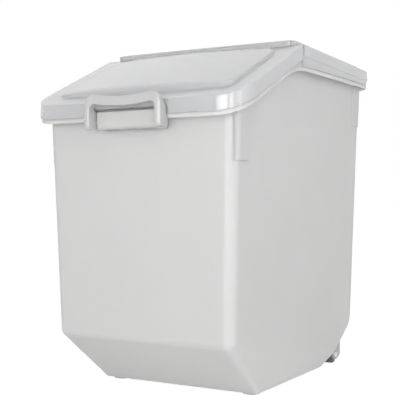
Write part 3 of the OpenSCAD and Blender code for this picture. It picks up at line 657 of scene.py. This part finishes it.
def shell_rows(rear, low=None):
    """Rows of a lid's border from the skirt's lower edge up and in over the top edge. The
    rear cover's skirt stands in under its upper band and goes down to the level flange."""
    r, square = settings().lids.edge_round / MM, 0.3
    lean, step = 0.4, LID_REACH - FLANGE_REACH
    if rear:
        y0, y1, r_front, r_back = RIDGE_Y + PART_GAP / 2, LID_HD, square, LID_R
        profile = [(-step, None), (-step, -COVER_BAND - 0.9), (-step + 0.3, -COVER_BAND - 0.4),
                   (-0.6, -COVER_BAND + 0.3), (-0.2, -COVER_BAND + 0.9), (0, -COVER_BAND + 1.8)]
    else:
        y0, y1, r_front, r_back = -LID_HD, RIDGE_Y - PART_GAP / 2, LID_R, square
        profile = [(-0.25, -SKIRT - 0.3), (0, -SKIRT), (-0.1, -SKIRT + 3)]
    profile += [(-lean * 0.8, -r - 1.5), *arc(-lean - r, -r, r, 0, 90, 4)]
    rows = []
    for i, (o, dz) in enumerate(profile):
        front, back = (0, o) if rear else (o, 0)
        loop = plan_loop(LID_HW + o, y0 - front, y1 + back, r_front + front, r_back + back)
        if dz is None:
            rows.append([(x, y, rim_z(y) + FLANGE_GAP / 2) for x, y in loop])
        else:
            rows.append([(x, y, max(z, low(x, y) + i * 0.4 if low else z))
                         for x, y, z in on_roof(loop, dz)])
    return rows


def panel_rows(high, crown, hw, y0, y1, front_foot):
    """Rows of a raised panel from its foot up its wall, over its top edge and in across
    its crowned top."""
    r = settings().lids.panel_round / MM
    profile = [(2.6, 0.0), (1.5, 0.25), (0.7, 1.0), (0.35, 2.2), (0.1, high - r - 0.8),
               *arc(0.1 - r, high - r, r, 0, 90, 4)]
    rows = []
    for o, dz in profile:
        y_front = y0 - (o if front_foot or o < 0 else 0)
        loop = plan_loop(hw + o, y_front, y1 + o, PANEL_R + 2 + o, PANEL_R + 2 + o)
        rows.append(on_roof(loop, dz, crown=crown * dz / high, hw=hw))
    middle = (y0 + y1) / 2
    for share in (0.92, 0.75, 0.55, 0.35, 0.15):
        rows.append(on_roof([(x * share, middle + (y - middle) * share) for x, y in loop],
                            high, crown=crown, hw=hw))
    return rows


def lid_shell(rear, panel, low=None):
    """The outer skin of one lid: skirt, border, panel wall and panel top."""
    bm = bmesh.new()
    border = shell_rows(rear, low)
    rows = border + panel_rows(*panel, not rear)
    turn = len(border) - 1
    edge = RIDGE_Y + (PART_GAP if rear else -PART_GAP) / 2

    def on_open_edge(i, j):
        k = (j + 1) % len(rows[0])
        near = [abs(rows[i][q][1] - edge) < 0.02 for q in (j, k)]
        return i < turn and all(near)

    made = add_loops(bm, rows, skip=on_open_edge)
    bm.faces.new(made[-1])
    merge(bm)
    return bm


def seal_ribs():
    """Two ribs under the flip lid that hold the seal between them."""
    bm = bmesh.new()
    hw, y0, y1 = seal_line()
    for near, far in ((2.65, 3.85), (-3.85, -2.65)):
        loops = []
        for o in (far, near):
            loop = plan_loop(hw + o, y0 - o, y1 + o, SEAL_R + o, SEAL_R + o)
            loops.append([(x, y, lid_z(y) - LID_T - 1.6, lid_z(y) - LID_T + 0.3)
                          for x, y in loop])
        band(bm, *loops)
    return bm


def seal_line():
    """Half-width, front and back of the seal's middle line."""
    return (HALF_W - wall_lean((LID_FRONT_Z + RIDGE_Z) / 2) - TUB_WALL / 2,
            -HALF_D + wall_lean(LID_FRONT_Z) + TUB_WALL / 2, HINGE_Y - 11)


def plug_rib():
    """A rib inside the tub's walls, round three sides, keeps the rear cover in place."""
    bm = bmesh.new()
    low_z = LID_REAR_Z - 14
    hw = HALF_W - wall_lean(low_z) - TUB_WALL - 0.3
    hd = HALF_D - wall_lean(low_z) - TUB_WALL - 0.3
    panel_end = REAR_PANEL[1] - 1.1
    loops = []
    for o in (0, -1.8):
        r = 9.6 + o
        points = [(hw + o, y) for y in (REAR_PANEL[0] + 1, 60, panel_end - 0.05,
                                        panel_end + 0.05)]
        points += arc(hw + o - r, hd + o - r, r, 0, 90, 10)
        loops.append([(x, y, lid_z(y) - 14,
                       lid_z(y) + (REAR_H - 1.4 if y < panel_end else -1.4))
                      for x, y in both_sides(points)])
    band(bm, *loops, close=False)
    return bm


class RICEBIN_OT_flip_lid(bpy.types.Operator):
    """Make the flip lid with its hinge knuckles and seal ribs"""
    bl_idname = "rice_bin.flip_lid"
    bl_label = "Flip lid"

    def execute(self, context):
        def notch(x, y):
            return NOTCH_Z if abs(x) < NOTCH_HW and y < -HALF_D else -1e9

        shell = lid_shell(False, (FLIP_H, FLIP_CROWN, FLIP_HW, *FLIP_PANEL), notch)
        lid = piece("flip_lid_shell", shell, "lid", "lid", ("flip_lid",), 50)
        modify(lid, "SOLIDIFY", thickness=LID_T * MM, offset=-1)
        weighted(lid)
        bm = bmesh.new()
        end, edge = KNUCKLE_HALF, 0.5
        knuckle = both_sides([(end, HINGE_BORE), (end, HINGE_R - edge), (end - edge, HINGE_R)])
        for side in (-1, 1):
            lathe(bm, knuckle, (side * HINGE_X, HINGE_Y, HINGE_Z), 40)
        piece("lid_knuckles", bm, "lid", "lid")
        piece("seal_ribs", seal_ribs(), "lid", "lid")
        return {"FINISHED"}


class RICEBIN_OT_rear_cover(bpy.types.Operator):
    """Make the rear cover with its beam, ears and plug rib"""
    bl_idname = "rice_bin.rear_cover"
    bl_label = "Rear cover"

    def execute(self, context):
        shell = lid_shell(True, (REAR_H, REAR_CROWN, REAR_HW, *REAR_PANEL))
        cover = piece("rear_cover_shell", shell, "bin", "lid", ("rear_cover",), 50)
        modify(cover, "SOLIDIFY", thickness=LID_T * MM, offset=-1, use_even_offset=True)
        weighted(cover)
        bm = bmesh.new()
        back, front, trough = REAR_PANEL[0] + LID_T, REAR_PANEL[0], 378.0
        ledge_back, ledge_front = HINGE_Y - 6, HINGE_Y - 16
        prism(bm, [(back, RIDGE_Z - LID_T), (front, RIDGE_Z - LID_T), (front, trough + LID_T),
                   (ledge_back + LID_T, trough + LID_T), (ledge_back, lid_z(ledge_back) - 4.5),
                   (ledge_front, lid_z(ledge_front) - 4.5),
                   (ledge_front, lid_z(ledge_front) - 6.7), (ledge_back - 1, trough),
                   (back, trough)], -119.0, 119.0)
        beam = piece("cover_beam", bm, "bin", "lid")
        bevel(beam, 0.5, 3)
        weighted(beam)
        piece("cover_plug_rib", plug_rib(), "bin", "lid")
        bm = bmesh.new()
        for side in (-1, 1):
            for end in (-1, 1):
                x = side * HINGE_X + end * EAR_OUT
                root = REAR_PANEL[0] + 0.5
                prism(bm, [(root, trough + 1), (root, HINGE_Z + 2),
                           *arc(HINGE_Y, HINGE_Z, HINGE_R, 90, 180, 16)],
                      x - EAR_HALF, x + EAR_HALF)
        ears = piece("hinge_ears", bm, "bin", "lid")
        bevel(ears, 0.4, 2, 50)
        return {"FINISHED"}


# ---- seal ----

class RICEBIN_OT_seal(bpy.types.Operator):
    """Sweep the soft seal round the underside of the flip lid"""
    bl_idname = "rice_bin.seal"
    bl_label = "Seal"

    def execute(self, context):
        x, front, back = seal_line()
        values = {"Half Width": x * MM, "Front": front * MM, "Back": back * MM,
                  "Corner Radius": SEAL_R * MM, "Bead Width": 5.0 * MM,
                  "Bead Height": 2.0 * MM, "Slope": FRONT_SLOPE,
                  "Level": (RIDGE_Z - SEAL_DROP - RIDGE_Y * FRONT_SLOPE) * MM,
                  "Shift": BIN_Y * MM, "Material": material("seal")}
        obj = nodes_object("lid_seal_bead", seal_tree(values), values)
        dress(obj, "lid", "seal", ("lid_seal",))
        return {"FINISHED"}


def nodes_object(name, tree, values):
    """Runs a geometry node tree once and keeps the result as a plain mesh."""
    host = link(name + "_host", bpy.data.meshes.new(name + "_host"))
    modifier = host.modifiers.new("Nodes", "NODES")
    modifier.node_group = tree
    for item in tree.interface.items_tree:
        if item.name in values:
            modifier[item.identifier] = values[item.name]
    bpy.context.view_layer.update()
    evaluated = host.evaluated_get(bpy.context.evaluated_depsgraph_get())
    mesh = bpy.data.meshes.new_from_object(evaluated)
    mesh.name = name
    bpy.data.objects.remove(host)
    return link(name, mesh)


def new_tree(name, values):
    """A geometry node tree with an input socket for each value, which is its default."""
    kinds = {int: "Int", float: "Float", tuple: "Vector"}
    tree = bpy.data.node_groups.new(name, "GeometryNodeTree")
    for label, value in values.items():
        kind = "NodeSocket" + kinds.get(type(value), "Material")
        tree.interface.new_socket(label, in_out="INPUT",
                                  socket_type=kind).default_value = value
    tree.interface.new_socket("Geometry", in_out="OUTPUT", socket_type="NodeSocketGeometry")
    return tree, tree.nodes.new("NodeGroupInput").outputs


def math_node(tree, operation, *values):
    return add_node(tree, "ShaderNodeMath", dict(enumerate(values)),
                    operation=operation).outputs[0]


def vector_node(tree, *values):
    return add_node(tree, "ShaderNodeCombineXYZ", dict(zip("XYZ", values))).outputs[0]


def finish_tree(tree, given, geometry):
    """Ends a tree with Realize Instances and Set Material."""
    realize = add_node(tree, "GeometryNodeRealizeInstances", {0: geometry})
    finish = add_node(tree, "GeometryNodeSetMaterial", {"Geometry": realize.outputs[0],
                                                        "Material": given["Material"]})
    add_node(tree, "NodeGroupOutput", {0: finish.outputs[0]})
    return tree


def seal_tree(values):
    """An oval bead along a rounded rectangle, lifted to the lid's slope."""
    tree, given = new_tree("Seal Bead", values)
    path = add_node(tree, "GeometryNodeCurvePrimitiveQuadrilateral", {
        "Width": math_node(tree, "MULTIPLY", given["Half Width"], 2.0),
        "Height": math_node(tree, "SUBTRACT", given["Back"], given["Front"])})
    fillet = add_node(tree, "GeometryNodeFilletCurve",
                      {"Count": 12, "Curve": path.outputs[0],
                       "Radius": given["Corner Radius"]}, mode="POLY")
    bead = add_node(tree, "GeometryNodeCurvePrimitiveCircle",
                    {"Resolution": 16, "Radius": 0.5})
    squeeze = add_node(tree, "GeometryNodeTransform", {
        "Geometry": bead.outputs[0],
        "Scale": vector_node(tree, given["Bead Width"], given["Bead Height"], 1.0)})
    sweep = add_node(tree, "GeometryNodeCurveToMesh", {
        "Curve": fillet.outputs[0], "Profile Curve": squeeze.outputs[0]})
    middle = math_node(tree, "MULTIPLY",
                       math_node(tree, "ADD", given["Back"], given["Front"]), 0.5)
    spot = add_node(tree, "GeometryNodeInputPosition").outputs[0]
    y = math_node(tree, "ADD",
                  add_node(tree, "ShaderNodeSeparateXYZ", {0: spot}).outputs["Y"], middle)
    z = math_node(tree, "MULTIPLY_ADD", y, given["Slope"], given["Level"])
    shift = math_node(tree, "ADD", middle, given["Shift"])
    move = add_node(tree, "GeometryNodeSetPosition", {
        "Geometry": sweep.outputs[0], "Offset": vector_node(tree, 0.0, shift, z)})
    return finish_tree(tree, given, move.outputs[0])


# ---- hinge pins ----

class RICEBIN_OT_hinge_pins(bpy.types.Operator):
    """Turn the two hinge pins with their domed heads"""
    bl_idname = "rice_bin.hinge_pins"
    bl_label = "Hinge pins"

    def execute(self, context):
        half, r, head = 21.9, 2.0, 3.0
        profile = [(-half, 0), (-half, r - 0.4), (-half + 0.4, r), (half, r), (half, head),
                   (half + 0.5, head), (half + 1.0, head - 0.6), (half + 1.2, head - 1.4),
                   (half + 1.2, 0)]
        for side, name in SIDES:
            turned(f"hinge_pin_wire_{name}", profile, (side * HINGE_X, HINGE_Y, HINGE_Z),
                   40, "bin", "steel", f"hinge_pin_{name}", side)
        return {"FINISHED"}


# ---- latch ----

def swing_y(z):
    """Back of the handle: the path of the opening lid's edge, and a clearance."""
    reach = math.hypot(-LID_HD - HINGE_Y, NOTCH_Z - HINGE_Z)
    return HINGE_Y - math.sqrt(reach ** 2 - (z - HINGE_Z) ** 2) - 1.3


def handle_depth(z):
    """Front and back of the handle at a height, as (y front, y back)."""
    low, heel, crest, r = PIVOT_Z - LEG_END, PIVOT_Y + 2.5, 326.5, 4.0
    front, back = LATCH_FRONT, heel
    if z < low + r:
        inset = r - math.sqrt(max(0.0, r * r - (low + r - z) ** 2))
        front, back = front + inset, back - inset
    elif z > NOTCH_Z - 1:
        back = swing_y(max(z, NOTCH_Z))
    elif z > NOTCH_Z - 3:
        t = (z - NOTCH_Z + 3) / 2
        back = heel - 0.5 + (swing_y(NOTCH_Z) - heel + 0.5) * t * t
    if z > crest:
        front = LATCH_FRONT + (z - crest) * 0.5
    return front, back


def bail_path():
    """Pairs of outer and inner points, drawn as (x, z), along the left half of the bail."""
    low, top, hw, leg = PIVOT_Z - LEG_END, 329.0, 48.5, 6.8
    r, dip, bar, inner_r = 12.0, 3.0, 10.5, 6.0
    shoulder_x, shoulder_z = -hw + r, top - r
    inner_x, inner_z = -hw + leg + inner_r, top - bar - inner_r
    pairs = []
    for rise in (0, 0.25, 0.8, 1.6, 2.7, 4, 6, 9, 12, 15, 17):
        z = low + rise
        pairs.append(((-hw, z), (-hw + leg, z)))
    pairs += zip(arc(shoulder_x, shoulder_z, r, 180, -90, 12),
                 arc(inner_x, inner_z, inner_r, 180, -90, 12))
    for k in range(1, 15):
        t = 1 - k / 14
        sag = dip * (1 - t * t)
        pairs.append(((shoulder_x * t, top - sag), (inner_x * t, top - bar - sag)))
    return pairs


def bail_section(outer, inner, r):
    """A rounded four-sided section between an outer and an inner point."""
    ring = [Vector((x, y, z)) for x, z in (outer, inner) for y in handle_depth(z)]
    ring[2:] = ring[:1:-1]
    points = []
    for i in range(4):
        here, before, after = ring[i], ring[i - 1], ring[(i + 1) % 4]
        a, b = before - here, after - here
        cut = min(r if i else r * 2.2, a.length * 0.45, b.length * 0.45)
        start, stop = here + a.normalized() * cut, here + b.normalized() * cut
        for k in range(5):
            t = k / 4
            points.append((1 - t) ** 2 * start + 2 * t * (1 - t) * here + t * t * stop)
    return points


class RICEBIN_OT_latch(bpy.types.Operator):
    """Sweep the white bail latch with its stub pins"""
    bl_idname = "rice_bin.latch"
    bl_label = "Latch handle"

    def execute(self, context):
        r = settings().latch.edge_round / MM
        bm = bmesh.new()
        half = [bail_section(o, i, r) for o, i in bail_path()]
        rows = half + [[Vector((-p.x, p.y, p.z)) for p in row] for row in half[-2::-1]]
        add_loops(bm, rows, caps=True)
        for side in (-1, 1):
            tip, root, pr = side * 36.5, side * 43.0, 1.8
            lathe(bm, [(tip, 0), (tip, pr - 0.3), (tip + side * 0.3, pr), (root, pr),
                       (root, 0)], (0, PIVOT_Y, PIVOT_Z), 32)
        weighted(piece("latch_bail", bm, "latch", "handle", ("latch_handle",), 50))
        return {"FINISHED"}


# ---- wheels ----

def ribs_tree(values):
    """Flat ribs between a wheel's hub and rim, on both faces."""
    tree, given = new_tree("Wheel Ribs", values)
    upright = (0, math.pi / 2, 0)
    rib = add_node(tree, "GeometryNodeMeshCube", {"Size": vector_node(
        tree, given["Wheel Width"], given["Rib Width"], given["Rib Length"])})
    ring = add_node(tree, "GeometryNodeMeshCircle",
                    {"Vertices": given["Ribs"], "Radius": given["Ring Radius"]})
    index = add_node(tree, "GeometryNodeInputIndex").outputs[0]
    turn = math_node(tree, "DIVIDE", math_node(tree, "MULTIPLY", index, math.tau),
                     given["Ribs"])
    laid = add_node(tree, "GeometryNodeTransform",
                    {"Rotation": upright, "Geometry": rib.outputs["Mesh"]})
    place = add_node(tree, "GeometryNodeInstanceOnPoints", {
        "Points": ring.outputs["Mesh"], "Instance": laid.outputs[0],
        "Rotation": vector_node(tree, 0.0, 0.0, turn)})
    stand = add_node(tree, "GeometryNodeTransform", {
        "Rotation": upright, "Geometry": place.outputs[0],
        "Translation": given["Centre"]})
    return finish_tree(tree, given, stand.outputs[0])


def wheel_profile():
    """A dished wheel, drawn as (along the axle, radius)."""
    w, rim, hub, bore = WHEEL_W / 2 - 0.5, WHEEL_R - 2.5, 4.4, 2.08
    half = [(w - 0.1, bore), (w, bore + 0.3), (w, hub - 0.3), (w - 0.4, hub),
            (w - 2.6, hub), (w - 3.0, hub + 0.4), (w - 3.0, rim - 2.0), (w - 2.6, rim - 1.6),
            (w - 0.3, rim - 1.6), (w, rim - 1.3), (w, rim)]
    return both_sides(half)


def tyre_profile():
    """A tread with a groove round its middle, drawn as (along the axle, radius)."""
    w, r = WHEEL_W / 2, WHEEL_R
    half = [(w, r - 2.5), (w, r - 1.4), (w - 0.3, r - 0.7), (w - 0.9, r - 0.2), (w - 1.8, r),
            (2.4, r), (2.1, r - 0.35), (1.6, r - 0.35), (1.3, r)]
    return both_sides(half)


class RICEBIN_OT_wheels(bpy.types.Operator):
    """Make both rear wheels with tyres, axles, caps and housings"""
    bl_idname = "rice_bin.wheels"
    bl_label = "Wheels"

    def execute(self, context):
        values = {"Ribs": settings().wheels.rib_count, "Ring Radius": 5.8 * MM,
                  "Rib Length": 3.0 * MM, "Rib Width": 1.0 * MM, "Wheel Width": 13.0 * MM,
                  "Centre": (0.0, 0.0, 0.0), "Material": material("wheel")}
        tree = ribs_tree(values)
        half = WHEEL_W / 2 + 0.5 + 2.6
        axle = [(-half - 1.6, 0), (-half - 1.6, 2.2), (-half - 1.1, 3.0), (-half, 3.0),
                (-half, 2.0), (half + 0.8, 2.0), (half + 0.8, 0)]
        cap = [(half, 2.02), (half, 3.0), (half + 0.9, 2.9), (half + 1.4, 2.4),
               (half + 1.6, 1.6), (half + 1.6, 0), (half + 0.8, 0), (half + 0.8, 2.02)]
        for side, name in SIDES:
            centre, wheel = (side * WHEEL_X, AXLE_Y, WHEEL_R), f"wheel_{name}"
            turned(f"wheel_core_{name}", wheel_profile(), centre, 48, wheel, "wheel", wheel)
            turned(f"wheel_tyre_{name}", tyre_profile(), centre, 64, wheel, "tyre",
                   f"tyre_{name}")
            values["Centre"] = (centre[0] * MM, (centre[1] + BIN_Y) * MM, centre[2] * MM)
            ribs = nodes_object(f"wheel_ribs_{name}", tree, values)
            dress(ribs, wheel, "wheel")
            turned(f"axle_wire_{name}", axle, centre, 40, "bin", "steel", f"axle_{name}",
                   side)
            turned(f"axle_button_{name}", cap, centre, 40, "bin", "cap",
                   f"axle_cap_{name}", side)
            paint(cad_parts[f"wheel_housing_{name}"], "housing")
        return {"FINISHED"}


# ---- feet ----

FOOT_X, FOOT_Y = 88.0, BASE_FRONT_Y + 13


class RICEBIN_OT_feet(bpy.types.Operator):
    """Turn the two low front feet"""
    bl_idname = "rice_bin.feet"
    bl_label = "Front feet"

    def execute(self, context):
        for side, name in SIDES:
            bm = bmesh.new()
            profile = [(0, 0), (0, 8.4), (0.35, 9.5), (1.0, 10), (2.4, 10), (2.4, 0)]
            lathe(bm, profile, (0, 0, 0), 56)
            place = Matrix.Translation((side * FOOT_X, FOOT_Y, 0))
            bmesh.ops.transform(bm, verts=bm.verts,
                                matrix=place @ Matrix.Rotation(-math.pi / 2, 4, "Y"))
            piece(f"foot_pad_{name}", bm, "bin", "foot", (f"front_foot_{name}",))
        return {"FINISHED"}


# ---- stage ----

def box_lamp(name, azimuth, power, wide, tall, distance, height):
    """A soft box standing round the bin; azimuth 0 is in front and 90 at the right."""
    lamp = bpy.data.lights.new(name, "AREA")
    lamp.shape, lamp.energy = "RECTANGLE", power
    lamp.size, lamp.size_y = wide, tall
    obj = link(name, lamp)
    turn = math.radians(azimuth)
    obj.location = (distance * math.sin(turn), -distance * math.cos(turn), height)
    aim = Vector((0, 0, 0.25)) - obj.location
    obj.rotation_euler = aim.to_track_quat("-Z", "Y").to_euler()


def seen_ray(tree):
    """1 for rays that should meet a white background, 0 for those that carry light."""
    rays = add_node(tree, "ShaderNodeLightPath").outputs
    return math_node(tree, "MAXIMUM", rays["Is Transmission Ray"], math_node(
        tree, "MAXIMUM", rays["Is Camera Ray"], rays["Is Glossy Ray"]))


def white_world(strength):
    """Even light all round in front of a white background."""
    world = bpy.data.worlds.new("Studio")
    bpy.context.scene.world = world
    world.use_nodes = True
    tree = world.node_tree
    feed(tree, tree.nodes["Background"], {
        "Color": (1, 1, 1, 1), "Strength": spread(tree, seen_ray(tree), strength, 1.0)})


def pale_floor():
    """A floor that carries the light and the bin's shadow, and is seen as white."""
    half = 8.0
    mesh = bpy.data.meshes.new("floor")
    mesh.from_pydata([(-half, -half, 0), (half, -half, 0), (half, half, 0), (-half, half, 0)],
                     [], [(0, 1, 2, 3)])
    floor = link("floor", mesh)
    pale, tree, _ = new_material("Pale Floor")
    carries = feed(tree, tree.nodes["Principled BSDF"], {
        "Base Color": (0.95, 0.95, 0.95, 1), "Roughness": 0.9, "Specular IOR Level": 0.1})
    shadow = add_node(tree, "ShaderNodeBsdfDiffuse", {"Color": (0.2, 0.2, 0.2, 1)})
    glow = add_node(tree, "ShaderNodeEmission", {"Strength": 0.91})
    seen = add_node(tree, "ShaderNodeAddShader", {0: shadow.outputs[0], 1: glow.outputs[0]})
    mix = add_node(tree, "ShaderNodeMixShader", {
        "Fac": seen_ray(tree), 1: carries.outputs[0], 2: seen.outputs[0]})
    feed(tree, tree.nodes["Material Output"], {"Surface": mix.outputs[0]})
    mesh.materials.append(pale)


class RICEBIN_OT_stage(bpy.types.Operator):
    """Set up the floor, the lamps, the world and the camera"""
    bl_idname = "rice_bin.stage"
    bl_label = "Stage"

    def execute(self, context):
        s = settings().stage
        pale_floor()
        white_world(s.world)
        for name, azimuth, share, wide, tall, distance, height in (
                ("near_window", 38, 0.36, 2.0, 1.2, 1.5, 0.2),
                ("front_window", 8, 1.3, 1.6, 1.2, 2.4, 0.15),
                ("right_window", 88, 0.138, 1.2, 1.2, 1.6, 0.2),
                ("front_strip", 41, 0.17, 0.13, 1.4, 1.6, 0.4),
                ("right_strip", 70, 0.1, 0.13, 1.4, 1.6, 0.4)):
            box_lamp(name, azimuth, s.key * share, wide, tall, distance, height)
        camera = bpy.data.cameras.new("camera")
        camera.lens, camera.sensor_width = s.lens, 36.0
        obj = link("camera", camera)
        obj.location = (0.5399, -0.9638 + BIN_Y * MM, 0.2233)
        turn = Matrix()
        for angle, axis in ((30.35, "Z"), (90 - 0.415, "X"), (-0.115, "Z")):
            turn = turn @ Matrix.Rotation(math.radians(angle), 4, axis)
        obj.rotation_euler = turn.to_euler()
        context.scene.camera = obj
        context.scene.view_settings.view_transform = "Standard"
        return {"FINISHED"}


OPERATORS = (RICEBIN_OT_tub, RICEBIN_OT_rear_cover, RICEBIN_OT_flip_lid, RICEBIN_OT_seal,
             RICEBIN_OT_hinge_pins, RICEBIN_OT_latch, RICEBIN_OT_wheels, RICEBIN_OT_feet,
             RICEBIN_OT_stage)


class RICEBIN_PT_panel(bpy.types.Panel):
    bl_idname = "RICEBIN_PT_panel"
    bl_label = "Rice Bin"
    bl_space_type = "VIEW_3D"
    bl_region_type = "UI"
    bl_category = "Rice Bin"

    def draw(self, context):
        for group in ("tub", "lids", "latch", "wheels", "stage"):
            box = self.layout.box()
            box.label(text=group.title())
            values = getattr(settings(), group)
            for name in values.__annotations__:
                box.prop(values, name)
        for operator in OPERATORS:
            self.layout.operator(operator.bl_idname)


CLASSES = (TubSettings, LidSettings, LatchSettings, WheelSettings, StageSettings,
           BinSettings, *OPERATORS, RICEBIN_PT_panel)


def register():
    for cls in CLASSES:
        bpy.utils.register_class(cls)
    bpy.types.Scene.rice_bin = PointerProperty(type=BinSettings)


def unregister():
    del bpy.types.Scene.rice_bin
    for cls in reversed(CLASSES):
        bpy.utils.unregister_class(cls)


def main():
    register()
    for operator in OPERATORS:
        group, name = operator.bl_idname.split(".")
        getattr(getattr(bpy.ops, group), name)()


if __name__ == "__main__":
    main()
